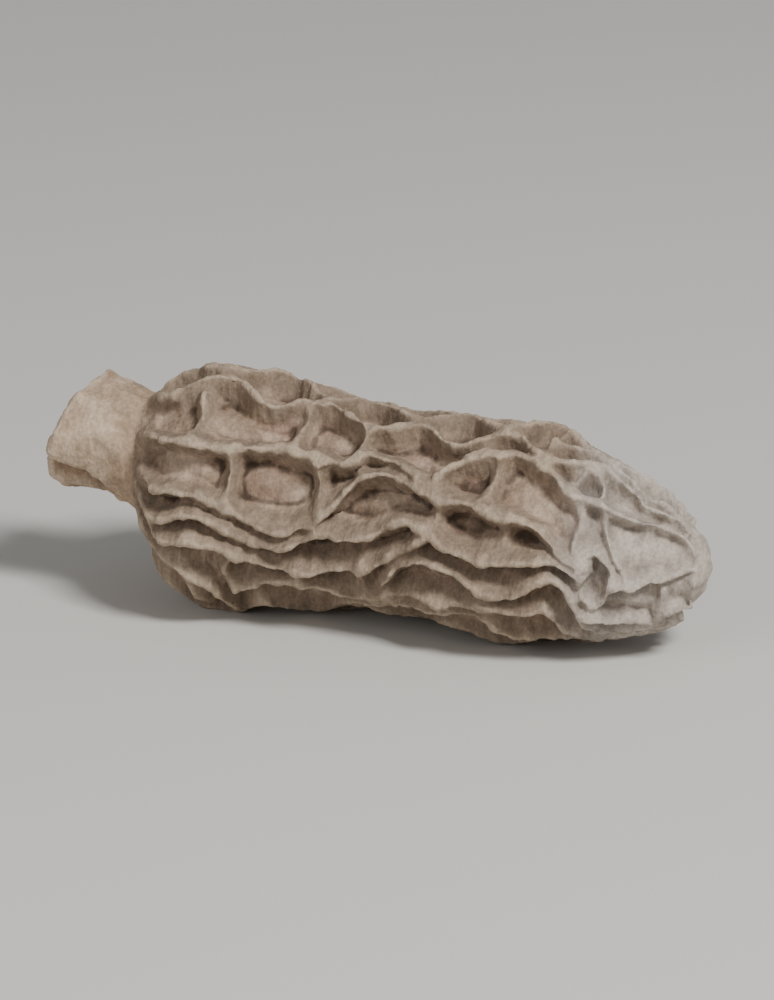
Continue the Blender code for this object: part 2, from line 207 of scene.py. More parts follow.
print("a point on the front of the skin, mm:", on_skin(0.0, 0.0).round(2))


# %% [markdown]
# ## The rest of the net
#
# Round the top, the back and the underside the ribs follow a rule. Each one zigzags against its neighbours,
# so the space between two ribs opens and closes along the cap, and a wall stands wherever two come nearest.
# Every other rib runs into the next before the tip, because there is less and less room round the cap.

# %% Ribs and walls by rule
FIRST_ANGLE, LAST_ANGLE, RULE_RIBS = 75, 298, 11
ZIGZAG, WANDER = 5.0, 9.0  # degrees each way
ZIGZAG_LAG = 0.35  # how much later each rib turns than its neighbour, in radians
WANDER_LENGTH, WANDER_APART = 4.1, 1.7  # length of one wander in mm, and how far apart two ribs read the noise
PIT_LENGTH = 6.4
RIB_ENDS = (-15.0, 20.6)
MERGING = {2: 15.5, 4: 12.5, 6: 17.0, 8: 14.0}  # which ribs run into the next, and where
MERGE_RUN = 6.0
WALL_MARGINS = (1.5, 1)  # mm without a wall at the two ends of the ribs
WALL_SLANT, WALL_BOW = 1.2, 0.6  # most, in mm along the cap
WALL_POINTS, RULE_STEP = 40, 0.1
LEAST_GAP = 3  # degrees between two ribs that a wall joins
RIM, RIM_POINTS = -14.4, 400
RIM_WAVES = ((0.35, 3, 40), (0.2, 7, 0))  # mm along the axis, waves round the neck, their turn in degrees
SEED = 7


def rule_angle(number, x):
    """Degrees round the cap of a rule-made rib at each x."""
    spacing = (LAST_ANGLE - FIRST_ANGLE) / (RULE_RIBS - 1)
    turn = 2 * math.pi * (x - RIM) / PIT_LENGTH
    side = 1 if number % 2 else -1
    own = FIRST_ANGLE + spacing * number + side * ZIGZAG * np.sin(turn + ZIGZAG_LAG * number)
    wander = [noise.noise((place / WANDER_LENGTH, WANDER_APART * number, SEED)) for place in np.atleast_1d(x)]
    own = own + WANDER * np.array(wander)
    if number not in MERGING:
        return own
    meets = MERGING[number]
    return own + (rule_angle(number + 1, x) - own) * smoothstep(x, meets - MERGE_RUN, meets)


def rule_ribs():
    lines = []
    for number in range(RULE_RIBS):
        x = np.arange(RIB_ENDS[0], MERGING.get(number, RIB_ENDS[1]), RULE_STEP)
        lines.append(on_skin(x, rule_angle(number, x)))
    return lines


def rule_walls():
    """A wall at each place where two neighbouring ribs come closest; each bows and slants a little."""
    draw = random.Random(SEED)
    u = np.linspace(0, 1, WALL_POINTS)
    x = np.arange(RIB_ENDS[0] + WALL_MARGINS[0], RIB_ENDS[1] - WALL_MARGINS[1], RULE_STEP)
    lines = []
    for number in range(RULE_RIBS - 1):
        gap = rule_angle(number + 1, x) - rule_angle(number, x)
        closest = (gap[1:-1] < gap[:-2]) & (gap[1:-1] < gap[2:]) & (gap[1:-1] > LEAST_GAP)
        for middle in x[1:-1][closest]:
            place = middle + draw.uniform(-WALL_SLANT, WALL_SLANT) * (u - 0.5)
            place = place + draw.uniform(-WALL_BOW, WALL_BOW) * np.sin(math.pi * u)
            start, end = rule_angle(number, place), rule_angle(number + 1, place)
            lines.append(on_skin(place, start + (end - start) * u))
    return lines


def rim():
    """The wavy wall round the neck, where the ribs start."""
    degrees = np.linspace(0, 360, RIM_POINTS)
    place = RIM
    for depth, count, turn in RIM_WAVES:
        place = place + depth * np.sin(np.radians(count * degrees + turn))
    return on_skin(place, degrees)


print(RULE_RIBS, "ribs by rule, with", len(rule_walls()), "walls between them")

# %% [markdown]
# The lines become wire meshes, one each for the ribs, the walls and the rim, because a node that measures
# the distance to the nearest edge can read a mesh directly.

# %% Crest lines as wires
def wire(name, lines):
    """A mesh of edges only, one chain for each line, in millimetres."""
    points, edges = [], []
    for line in lines:
        start = len(points)
        points.extend(map(tuple, line))
        edges.extend((i, i + 1) for i in range(start, len(points) - 1))
    mesh = bpy.data.meshes.new(name)
    mesh.from_pydata(points, edges, [])
    wires = bpy.data.objects.new(name, mesh)
    bpy.context.scene.collection.objects.link(wires)
    return wires


rib_wires = wire("rib_lines", traced(FRONT_RIBS) + rule_ribs())
wall_wires = wire("wall_lines", traced(FRONT_WALLS) + rule_walls())
rim_wire = wire("rim_line", [rim()])
print("edges along ribs:", len(rib_wires.data.edges), "along walls:", len(wall_wires.data.edges))

# %% [markdown]
# ## The turned skin
#
# The section is turned round the axis with a Screw modifier, like clay on a wheel. Every point of the
# section carries its rib height and its slope as attributes, and the modifier hands them on to each ring,
# so later steps know what stands where without looking it up again.

# %% Turn the section
AROUND = 560
MERGE_NEAR = 1e-4  # mm, for the rings that shrink to one point


def turned_skin():
    rows = np.vstack([hollow_rows, skin_rows])
    slope = np.gradient(rows[:, :2], axis=0)
    slope /= np.linalg.norm(slope, axis=1)[:, None]
    slope[: len(hollow_rows)] = 0
    profile = bpy.data.meshes.new("section")
    profile.from_pydata([(x, r, 0) for x, r, _ in rows], [(i, i + 1) for i in range(len(rows) - 1)], [])
    for name, values in (("height", rows[:, 2]), ("along", slope[:, 0]), ("outward", slope[:, 1])):
        profile.attributes.new(name, "FLOAT", "POINT").data.foreach_set("value", values)
    section = bpy.data.objects.new("section", profile)
    bpy.context.scene.collection.objects.link(section)
    turning = section.modifiers.new("turning", "SCREW")
    turning.axis = "X"
    turning.steps = turning.render_steps = AROUND
    turning.use_merge_vertices = True
    turning.merge_threshold = MERGE_NEAR
    mesh = bpy.data.meshes.new_from_object(section.evaluated_get(bpy.context.evaluated_depsgraph_get()))
    bpy.data.objects.remove(section)
    return mesh


skin = turned_skin()
print("points of the turned skin:", len(skin.vertices))


# %% Read and store values on points
def points_of(mesh):
    flat = np.empty(len(mesh.vertices) * 3, np.float32)
    mesh.vertices.foreach_get("co", flat)
    return flat.reshape(-1, 3).astype(float)


def values_of(mesh, name):
    values = np.empty(len(mesh.vertices), np.float32)
    mesh.attributes[name].data.foreach_get("value", values)
    return values.astype(float)


def store(mesh, name, values):
    """Keeps one number, or one vector, for each point."""
    vector = values.ndim == 2
    layer = mesh.attributes.new(name, "FLOAT_VECTOR" if vector else "FLOAT", "POINT")
    layer.data.foreach_set("vector" if vector else "value", values.astype(np.float32).ravel())


def rough(points, size, shift):
    """Smooth noise from -1 to 1 whose lumps are about size millimetres across."""
    offset = Vector((shift, 0, 0))
    return np.array([noise.noise(Vector(point) / size + offset) for point in points])


print("highest rib on the skin:", round(float(values_of(skin, "height").max()), 2), "mm")


# %% [markdown]
# ## Where a crest goes
#
# A full crest does two things: it stands out from the skin, and it leans. Both are stored on every point as
# a vector, worked out once: `stand` is the way out times the rib height, and `lean` is the sag of the thin
# edge over the pit below it, with some wandering along the cap. On the front all crests sag the same way,
# downwards. Three more numbers make the ribs uneven, the walls uneven and the crests of the tip finer. The
# net only has to say how much of each a point gets.

# %% The way out and the way down
HANG, DRIFT, FULL_HEIGHT = 0.50, 0.35, 1.75  # mm over the pit, mm along the cap, for a rib of this height
HANG_NOISE, DRIFT_NOISE = (3.4, 57), (3.0, 71)  # the size of the lumps in mm, and where in the noise
RIB_UNEVENNESS, RIB_NOISE = 0.14, (2.6, 11)
WALL_UNEVENNESS, WALL_NOISE = 0.5, (2.2, 23)
FINENESS, FINENESS_RUN = 0.8, (13.0, 18.0)  # how much narrower the crests get, and between which places
FRONT_RUN = (-0.5, 0.5)
LEAST_HEIGHT = 0.02
points = points_of(skin)
height, along, outward = (values_of(skin, name) for name in ("height", "along", "outward"))
x, radius = points[:, 0], np.hypot(points[:, 1], points[:, 2])
angle = np.arctan2(points[:, 2], -points[:, 1])
radial = np.stack([np.zeros_like(x), -np.cos(angle), np.sin(angle)], axis=1)
around = np.stack([np.zeros_like(x), np.sin(angle), np.cos(angle)], axis=1)
axial = np.array((1.0, 0, 0))
ribbed = height > LEAST_HEIGHT
hollow_side = (height == 0) & (along == 0)


def rough_ribbed(size, shift):
    """The same noise, worked out only where there are ribs."""
    values = np.zeros(len(points))
    values[ribbed] = rough(points[ribbed], size, shift)
    return values


front = smoothstep(np.cos(angle), *FRONT_RUN)
hang = HANG * height / FULL_HEIGHT * (rough_ribbed(*HANG_NOISE) - front)
drift = DRIFT * height / FULL_HEIGHT * rough_ribbed(*DRIFT_NOISE)
store(skin, "stand", (radial * along[:, None] - axial * outward[:, None]) * height[:, None])
store(skin, "lean", around * hang[:, None] + axial * drift[:, None])
store(skin, "rib_strength", 1 + RIB_UNEVENNESS * rough_ribbed(*RIB_NOISE))
store(skin, "wall_drop", 1 + WALL_UNEVENNESS * rough_ribbed(*WALL_NOISE))
store(skin, "fineness", 1 + FINENESS * smoothstep(x, *FINENESS_RUN))
print("longest sag:", round(float(np.abs(hang).max()), 2), "mm")


# %% [markdown]
# ## Raising the net
#
# The net itself is a Geometry Nodes tree. It measures the distance from each point to the nearest rib, wall
# and rim. A wall is read as never nearer than its drop, so it stays lower and rounder than a rib. The three
# distances then flow together in a smooth minimum, which gives the pits their round corners. The distance
# turns into a share of the full crest, from 1 on the line down to 0 at its foot in a hollow curve, and the
# point moves by that share of its own `stand` and `lean`. The floor of a pit bulges a little between its
# ribs. A fine wobble of the measuring point makes the crests ragged, as dried edges are.

# %% Small helpers for node trees
def add(tree, kind, inputs=None, **settings):
    """A node with its settings, its named inputs filled or linked."""
    made = tree.nodes.new(kind)
    for name, value in settings.items():
        setattr(made, name, value)
    for key, value in (inputs or {}).items():
        socket = made.inputs[key]
        if isinstance(value, bpy.types.NodeSocket):
            tree.links.new(value, socket)
        else:
            socket.default_value = value
    return made


def maths(tree, operation, *values):
    made = add(tree, "ShaderNodeMath", dict(enumerate(values)), operation=operation)
    return made.outputs[0]


def vector_maths(tree, operation, inputs):
    return add(tree, "ShaderNodeVectorMath", inputs, operation=operation).outputs[0]


def new_tree(name, inputs):
    """A Geometry Nodes tree with a geometry input and output and the named inputs."""
    tree = bpy.data.node_groups.new(name, "GeometryNodeTree")
    tree.interface.new_socket("Geometry", in_out="INPUT", socket_type="NodeSocketGeometry")
    for label, kind in inputs.items():
        tree.interface.new_socket(label, in_out="INPUT", socket_type=f"NodeSocket{kind}")
    tree.interface.new_socket("Geometry", in_out="OUTPUT", socket_type="NodeSocketGeometry")
    return tree, tree.nodes.new("NodeGroupInput").outputs, tree.nodes.new("NodeGroupOutput").inputs


def eased(tree, value, start, end, first=0.0, last=1.0):
    """A soft step from first to last while the value goes from start to end."""
    return add(tree, "ShaderNodeMapRange", {"Value": value, "From Min": start, "From Max": end, "To Min": first,
                                            "To Max": last}, interpolation_type="SMOOTHSTEP").outputs[0]


def read(tree, name, kind="FLOAT"):
    """The values stored on the points under this name."""
    return add(tree, "GeometryNodeInputNamedAttribute", {"Name": name}, data_type=kind).outputs[0]


def run_tree(piece, tree, values):
    """The plain mesh that a tree makes of an object, with the named inputs set."""
    modifier = piece.modifiers.new(tree.name, "NODES")
    modifier.node_group = tree
    for socket in tree.interface.items_tree:
        if socket.in_out == "INPUT" and socket.name in values:
            modifier[socket.identifier] = values[socket.name]
    graph = bpy.context.evaluated_depsgraph_get()
    mesh = bpy.data.meshes.new_from_object(piece.evaluated_get(graph))
    piece.modifiers.remove(modifier)
    return mesh


# %% The tree that raises the net
WOBBLE_DETAIL = 1.0


def gap_to(tree, target, place):
    """Distance from each point to the nearest line of the target, read wider where the net is finer."""
    wires = add(tree, "GeometryNodeObjectInfo", {"Object": target})
    gap = add(tree, "GeometryNodeProximity", {0: wires.outputs["Geometry"], "Source Position": place},
              target_element="EDGES").outputs["Distance"]
    return maths(tree, "MULTIPLY", gap, read(tree, "fineness"))


def lowered(tree, gap, drop):
    """The same distance, but never less than the drop: what it measures becomes a lower, rounder ridge."""
    squares = maths(tree, "ADD", maths(tree, "MULTIPLY", gap, gap), maths(tree, "MULTIPLY", drop, drop))
    return maths(tree, "SQRT", squares)


def net_tree():
    tree, given, result = new_tree("raised_net", {
        "Rib Lines": "Object", "Wall Lines": "Object", "Rim Line": "Object", "Crest": "Float", "Foot": "Float",
        "Sharpness": "Float", "Wall Drop": "Float", "Rim Drop": "Float", "Rounding": "Float", "Pillow": "Float",
        "Pillow Start": "Float", "Pillow End": "Float", "Wobble": "Float", "Wobble Scale": "Float",
        "Tatter": "Float", "Lean Sharpness": "Float", "Material": "Material"})
    position = tree.nodes.new("GeometryNodeInputPosition").outputs[0]
    wobble = add(tree, "ShaderNodeTexNoise", {"Vector": position, "Scale": given["Wobble Scale"],
                                              "Detail": WOBBLE_DETAIL})
    centred = vector_maths(tree, "SUBTRACT", {0: wobble.outputs["Color"], 1: (0.5, 0.5, 0.5)})
    shift = vector_maths(tree, "SCALE", {0: centred, "Scale": given["Wobble"]})
    place = vector_maths(tree, "ADD", {0: position, 1: shift})
    rib = gap_to(tree, given["Rib Lines"], place)
    drop = maths(tree, "MULTIPLY", given["Wall Drop"], read(tree, "wall_drop"))
    wall = lowered(tree, gap_to(tree, given["Wall Lines"], place), drop)
    rim = lowered(tree, gap_to(tree, given["Rim Line"], place), given["Rim Drop"])
    near = maths(tree, "SMOOTH_MIN", rib, wall, given["Rounding"])
    near = maths(tree, "SMOOTH_MIN", near, rim, given["Rounding"])
    share = maths(tree, "POWER", eased(tree, near, given["Crest"], given["Foot"], 1.0, 0.0), given["Sharpness"])
    tatter = maths(tree, "MULTIPLY_ADD", maths(tree, "SUBTRACT", wobble.outputs[0], 0.5), given["Tatter"], 1.0)
    share = maths(tree, "MULTIPLY", maths(tree, "MULTIPLY", share, read(tree, "rib_strength")), tatter)
    pillow = eased(tree, near, given["Pillow Start"], given["Pillow End"])
    pillow = maths(tree, "MULTIPLY", pillow, given["Pillow"])
    stand = vector_maths(tree, "SCALE", {0: read(tree, "stand", "FLOAT_VECTOR"),
                                         "Scale": maths(tree, "ADD", share, pillow)})
    edge = maths(tree, "POWER", share, given["Lean Sharpness"])
    lean = vector_maths(tree, "SCALE", {0: read(tree, "lean", "FLOAT_VECTOR"), "Scale": edge})
    offset = vector_maths(tree, "ADD", {0: stand, 1: lean})
    kept = add(tree, "GeometryNodeStoreNamedAttribute", {"Geometry": given["Geometry"], "Name": "crest",
                                                         "Value": share}, data_type="FLOAT", domain="POINT")
    moved = add(tree, "GeometryNodeSetPosition", {"Geometry": kept.outputs[0], "Offset": offset})
    real = add(tree, "GeometryNodeRealizeInstances", {"Geometry": moved.outputs[0]})
    tinted = add(tree, "GeometryNodeSetMaterial", {"Geometry": real.outputs[0], "Material": given["Material"]})
    tree.links.new(tinted.outputs[0], result["Geometry"])
    return tree


# %% Raise it
NET = {  # distances in mm; the pillow and the tatter are shares of a crest
    "Crest": 0.05, "Foot": 1.05, "Sharpness": 2.1,
    "Wall Drop": 0.34, "Rim Drop": 0.5, "Rounding": 1.3,
    "Pillow": 0.18, "Pillow Start": 0.6, "Pillow End": 2.2,
    "Wobble": 0.5, "Wobble Scale": 0.6, "Tatter": 0.35, "Lean Sharpness": 1.6,
}
flesh = bpy.data.materials.new("dried_flesh")
flesh.use_nodes = True
morel = bpy.data.objects.new("dried_morel_skin", skin)
bpy.context.scene.collection.objects.link(morel)
lines = {"Rib Lines": rib_wires, "Wall Lines": wall_wires, "Rim Line": rim_wire}
netted = run_tree(morel, net_tree(), {**lines, **NET, "Material": flesh})
morel.data = netted
crest = values_of(netted, "crest")
print("share of the skin near a crest:", round(float((crest[ribbed] > 0.5).mean()), 2))


# %% [markdown]
# ## Stem, mouth and bend
#
# The stem dries into soft lengthwise folds. Low on its front one edge of the dried skin stands as a flap
# over a deep crease, and the lip of its cut end is rolled a little. The mouth is torn on a slant, with its
# front reaching out. Then the whole body is bent: it sags to one side, the stem sits high, the belly
# arches, and the cap droops to its tip.

# %% Fold, tear and bend
OVAL = 0.22  # mm that the stem is wider one way than the other
STEM_FOLDS = ((0.09, 3, 0.6, 0.0), (0.06, 5, 2, 0.15))  # mm, waves round it, their turn, radians a mm along it
STEM_FOLDS_RUN = (STEM_END - 0.5, NECK + 0.6)
FLAP_TURNS = (-1.0, -0.62, -0.46, -0.30, -0.12, -0.05, 0.02, 0.10, 0.30, 0.65)  # radians from the crease
FLAP_STANDS = (0.0, 0.06, 0.18, -0.30, -0.80, -0.80, 0.22, 0.38, 0.26, 0.0)  # mm
CREASE_ANGLE, CREASE_TWIST = math.radians(-29), 0.10  # at the stem's end, and radians a mm
LIP_ROLL, LIP_PLACE, LIP_WIDTH = 0.16, -21.0, 0.45
HOLLOW_SHARE = 0.8  # of the folds that show in the hollow
POLE_RADIUS = 2  # mm; nearer the axis the folds fade
RAGGED = ((0.15, 3, 1), (0.12, 5, 0), (0.78, 1, 0))  # mm, waves round the mouth, their turn in radians
SETBACK, SETBACK_FRONT = 1.5, 0.9  # mm beyond the front, whose half width is in radians
RAGGED_RUN = (-21.9, -18.0)  # where the tear fades out
STEM_RISE, BASE_RISE, TIP_DROP = (2.8, -19, -12), (0.8, -14, 0), (1.1, 12, 23)  # mm, and between which places
CAP_SWAY, BASE_SWAY = (2.0, -4, 12), (0.4, -13, -5)
BELLY_ARCH, BELLY_MIDDLE, BELLY_LENGTH, BELLY_DEPTH = 0.9, 3, 6.5, (2.0, 7.5)  # mm; the depth is below the axis
LUMPS, LUMP_NOISE, LUMP_SQUEEZE = 0.05, (7, 41), (0.6, 1, 1)  # a share of the radius; longer along the mushroom
LUMPS_RUN = (STEM_END, NECK + 3)
WIDENING = 1.03


def growing(x, size, start, end):
    """Nothing before the start, all of the size after the end."""
    return size * smoothstep(x, start, end)


def fading(x, size, start, end):
    """All of the size before the start, nothing after the end."""
    return size * (1 - smoothstep(x, start, end))


def stem_folds(x, angle):
    """How far the dried stem stands in or out of its round section."""
    folds = OVAL * np.cos(2 * angle)
    for depth, count, turn, twist in STEM_FOLDS:
        folds = folds + depth * np.sin(count * angle + turn + twist * x)
    crease = CREASE_ANGLE - CREASE_TWIST * (x - STEM_END)
    off = (angle - crease + math.pi) % (2 * math.pi) - math.pi
    flap = np.interp(off, FLAP_TURNS, FLAP_STANDS)
    lip = LIP_ROLL * np.exp(-(((x - LIP_PLACE) / LIP_WIDTH) ** 2))
    return fading(x, 1, *STEM_FOLDS_RUN) * (folds + flap) + lip


def torn(x, angle):
    """How far the torn mouth is set back from a straight cut."""
    back = 0
    for depth, count, turn in RAGGED:
        back = back + depth * np.sin(count * angle + turn)
    back = back + SETBACK * (1 - np.exp(-((angle / SETBACK_FRONT) ** 2)))
    return back * fading(x, 1, *RAGGED_RUN)


def bent(points):
    """The body with its lumps, its high stem, its arched belly, its low tip and its sag to one side."""
    x, y, z = points.T
    swell = 1 + LUMPS * rough(points * LUMP_SQUEEZE, *LUMP_NOISE) * smoothstep(x, *LUMPS_RUN)
    rise = fading(x, *STEM_RISE) + fading(x, *BASE_RISE) - growing(x, *TIP_DROP)
    belly = BELLY_ARCH * np.exp(-(((x - BELLY_MIDDLE) / BELLY_LENGTH) ** 2)) * smoothstep(-z, *BELLY_DEPTH)
    sway = -growing(x, *CAP_SWAY) - fading(x, *BASE_SWAY)
    return np.stack([x, y * swell * WIDENING + sway, z * swell + rise + belly], axis=1)


folded = np.where(hollow_side, HOLLOW_SHARE, 1.0) * stem_folds(x, angle) * np.clip(radius / POLE_RADIUS, 0, 1)
body = bent(points_of(netted) + radial * folded[:, None] + axial * torn(x, angle)[:, None])
print("body before it is placed, mm:", (body.max(axis=0) - body.min(axis=0)).round(1))

# %% [markdown]
# The body now takes its place in the frame: its middle over the origin, as the solid's is, and its lowest
# crests pressed flat on the ground.

# %% Place it in the frame
TABLE_CUT = 0.5  # mm of the lowest crests that are pressed flat
GROUND = 0.02 * MM  # how far the flat crests stay above the floor
middle = (body.max(axis=0) + body.min(axis=0)) / 2
placed = (body - (middle[0], middle[1], body[:, 2].min() + TABLE_CUT)) * MM
placed[:, 2] = np.maximum(placed[:, 2], GROUND)
netted.vertices.foreach_set("co", placed.astype(np.float32).ravel())
netted.update()
print("middle of the body:", middle.round(3), "lowest point:", round(float(placed[:, 2].min() / MM), 3), "mm")

# %% [markdown]
# ## One even skin
#
# Raising steep ribs stretches the mesh, and a crest that leans can pass through its neighbour. A voxel
# Remesh fuses all that into one closed skin with even faces, and Decimate then spends the faces where the
# surface turns most.

# %% Remesh and thin out
VOXEL = 0.13  # mm
MOST_TRIANGLES = 185000


def evened(piece):
    """One closed skin with even faces; the remeshed faces are squares, so each counts as two triangles."""
    joined = piece.modifiers.new("one_skin", "REMESH")
    joined.mode = "VOXEL"
    joined.voxel_size = VOXEL * MM
    graph = bpy.context.evaluated_depsgraph_get()
    fine = 2 * len(piece.evaluated_get(graph).data.polygons)
    fewer = piece.modifiers.new("fewer_faces", "DECIMATE")
    fewer.ratio = min(1.0, MOST_TRIANGLES / fine)
    graph = bpy.context.evaluated_depsgraph_get()
    mesh = bpy.data.meshes.new_from_object(piece.evaluated_get(graph))
    piece.modifiers.clear()
    return mesh


even = evened(morel)
print("triangles:", sum(len(face.vertices) - 2 for face in even.polygons))


# %% [markdown]
# Remeshing forgets the attributes, so each new point looks up the nearest point of the raised skin and
# takes its values from there: how near a crest it is, how far along the mushroom, and whether it is inside.

# %% Hand the values on
def carried(source_points, target_points):
    """For each target point, the number of the nearest source point."""
    tree = kdtree.KDTree(len(source_points))
    for index, point in enumerate(source_points):
        tree.insert(point, index)
    tree.balance()
    return np.array([tree.find(point)[1] for point in target_points])


nearest = carried(placed, points_of(even))
store(even, "crest", np.clip(crest, 0, 1.1)[nearest])
store(even, "place", x[nearest])
store(even, "inside", hollow_side[nearest])
morel.data = even
print("share of the points that are in the hollow:", round(float(hollow_side[nearest].mean()), 2))


# %% [markdown]
# ## Wrinkles
#
# The flesh shrinks as it dries, so every face is crumpled. A second small tree pushes the points in and out
# along their normals with three kinds of noise: soft folds that run along the mushroom, finer creases that
# run across it, and a grain. It then measures how deep each point lies below the smoothed skin round it and
# stores that as `cavity`, for the colours.

# %% The wrinkle tree
LENGTHWISE, CROSSWISE = (0.55, 1.0, 1.0), (1.0, 0.3, 0.3)  # a low number draws the noise out along that axis
FOLD_DETAIL, CREASE_DETAIL, GRAIN_DETAIL = 2.0, 2.0, 3.0
FOLD_DISTORTION, CREASE_DISTORTION = 0.6, 0.4
CAVITY_STEPS = 60  # how far round each point the skin is smoothed to measure its depth


def centred_noise(tree, vector, scale, detail, distortion=0.0):
    """Noise from about -0.5 to 0.5."""
    made = add(tree, "ShaderNodeTexNoise", {"Vector": vector, "Scale": scale, "Detail": detail,
                                            "Distortion": distortion})
    return maths(tree, "SUBTRACT", made.outputs[0], 0.5)


def wrinkle_tree():
    tree, given, result = new_tree("wrinkles", {
        "Fold Depth": "Float", "Fold Scale": "Float", "Crease Depth": "Float", "Crease Scale": "Float",
        "Grain Depth": "Float", "Grain Scale": "Float", "Ground": "Float", "Material": "Material"})
    position = tree.nodes.new("GeometryNodeInputPosition").outputs[0]
    normal = tree.nodes.new("GeometryNodeInputNormal").outputs[0]
    lengthwise = vector_maths(tree, "MULTIPLY", {0: position, 1: LENGTHWISE})
    crosswise = vector_maths(tree, "MULTIPLY", {0: position, 1: CROSSWISE})
    fold = centred_noise(tree, lengthwise, given["Fold Scale"], FOLD_DETAIL, FOLD_DISTORTION)
    fold = maths(tree, "MULTIPLY", fold, given["Fold Depth"])
    crease = centred_noise(tree, crosswise, given["Crease Scale"], CREASE_DETAIL, CREASE_DISTORTION)
    crease = maths(tree, "MULTIPLY", crease, given["Crease Depth"])
    grain = centred_noise(tree, position, given["Grain Scale"], GRAIN_DETAIL)
    grain = maths(tree, "MULTIPLY", grain, given["Grain Depth"])
    depth = maths(tree, "ADD", maths(tree, "ADD", fold, crease), grain)
    offset = vector_maths(tree, "SCALE", {0: normal, "Scale": depth})
    moved = add(tree, "GeometryNodeSetPosition", {"Geometry": given["Geometry"], "Offset": offset})
    parts = add(tree, "ShaderNodeSeparateXYZ", {0: position})
    lifted = maths(tree, "MAXIMUM", parts.outputs["Z"], given["Ground"])
    joined = add(tree, "ShaderNodeCombineXYZ", {"X": parts.outputs["X"], "Y": parts.outputs["Y"], "Z": lifted})
    grounded = add(tree, "GeometryNodeSetPosition", {"Geometry": moved.outputs[0],
                                                     "Position": joined.outputs[0]})
    smoothed = add(tree, "GeometryNodeBlurAttribute", {"Value": position, "Iterations": CAVITY_STEPS},
                   data_type="FLOAT_VECTOR")
    dip = vector_maths(tree, "SUBTRACT", {0: smoothed.outputs[0], 1: position})
    cavity = add(tree, "ShaderNodeVectorMath", {0: dip, 1: normal}, operation="DOT_PRODUCT").outputs["Value"]
    kept = add(tree, "GeometryNodeStoreNamedAttribute", {
        "Geometry": grounded.outputs[0], "Name": "cavity", "Value": maths(tree, "DIVIDE", cavity, MM)},
        data_type="FLOAT", domain="POINT")
    real = add(tree, "GeometryNodeRealizeInstances", {"Geometry": kept.outputs[0]})
    tinted = add(tree, "GeometryNodeSetMaterial", {"Geometry": real.outputs[0], "Material": given["Material"]})
    tree.links.new(tinted.outputs[0], result["Geometry"])
    return tree


WRINKLES = {  # depths in metres; a scale of 1000 has one lump to about a millimetre
    "Fold Depth": 0.52 * MM, "Fold Scale": 750.0,
    "Crease Depth": 0.42 * MM, "Crease Scale": 1200.0,
    "Grain Depth": 0.14 * MM, "Grain Scale": 3000.0,
    "Ground": GROUND,
}
morel.data = run_tree(morel, wrinkle_tree(), {**WRINKLES, "Material": flesh})
morel.data.shade_smooth()
cavity = values_of(morel.data, "cavity")
print("points:", len(morel.data.vertices), "cavity in mm, share by share:",
      np.percentile(cavity, (2, 10, 25, 50, 75, 90, 98)).round(2))


# %% [markdown]
# ## The colour of dried flesh
#
# The colour goes with the relief, so colour and shape can't drift apart. The edges of the ribs are pale
# straw, because they are thin and dry first. The floors of the pits are grey-brown with reddish patches,
# their sides are painted a little darker as shade, and the deepest folds are painted nearly black as shade.
# The stem is the palest and warmest part, with painted shade in its crease. The tip is greyer, partly its
# own tone and partly a painted reflection that greys it, and it is painted darker in its hollows as shade.
# `crest` tells the floors from the sides, `cavity` finds the edges and the folds, and `place` the stem and
# the tip. Fine crosswise wrinkles and a mealy grain, too small for the mesh, are bumps in the material, and
# the wrinkles are also painted darker in their grooves as shade. The surface is quite matt.

# %% The flesh material
FLOOR_DARK, FLOOR_LIGHT, FLOOR_RED = (0.275, 0.192, 0.132), (0.400, 0.300, 0.222), (0.330, 0.208, 0.155)
# The sides of the ribs are painted shade: darker than the floors, as the shade on them.
SIDE_SHADE_DARK, SIDE_SHADE_LIGHT = (0.205, 0.146, 0.100), (0.290, 0.218, 0.158)
EDGE_DARK, EDGE_LIGHT = (0.32, 0.240, 0.168), (0.47, 0.370, 0.272)
STEM_DARK, STEM_LIGHT = (0.27, 0.182, 0.115), (0.43, 0.310, 0.215)
# The first is painted shade for the stem's crease and folds; the second is the pale colour of its edges.
STEM_CREASE_SHADE, STEM_EDGE = (0.15, 0.105, 0.068), (0.58, 0.45, 0.33)
# The tip's grey is partly its own tone and partly a painted reflection; the first colour is that grey in
# painted shade, for its hollows.
TIP_GREY_IN_PAINTED_SHADE, TIP_GREY_AND_PAINTED_REFLECTION = (0.29, 0.248, 0.21), (0.46, 0.400, 0.343)
# The first is painted shade, nearly black, for the deepest folds; the second is the brown of the hollow's
# inside.
DEEP_FOLD_SHADE, HOLLOW_BROWN = (0.045, 0.028, 0.018), (0.20, 0.14, 0.095)

# Lumps to a metre and detail of each noise.
FLOOR_SCALE, RED_SCALE, SIDE_SCALE, EDGE_SCALE, STEM_SCALE = 420.0, 260.0, 700.0, 900.0, 500.0
SPECK_SCALE, CRINKLE_SCALE, FINE_SCALE = 4200.0, 1700.0, 5200.0
SPECK_DETAIL, CRINKLE_DETAIL, FINE_DETAIL = 2.0, 3.0, 3.0
CRINKLE_STRETCH = (1.0, 0.4, 0.4)

# Where each finish comes in and is full, and its least and most share where that isn't 0 and 1.
PATCHES_OF_FLOOR, PATCHES_OF_RED = (0.35, 0.65), (0.52, 0.70, 0.0, 0.7)  # values of the noise
# Where the painted shade on the sides of the ribs comes in, by the crest share.
SIDE_SHADE_BY_CREST = (0.08, 0.5)
# The second is where the painted shade of the deepest folds comes in.
EDGE_BY_CAVITY, DEEP_SHADE_BY_CAVITY = (-0.10, -0.50), (0.22, 0.58, 0.0, 0.88)  # mm
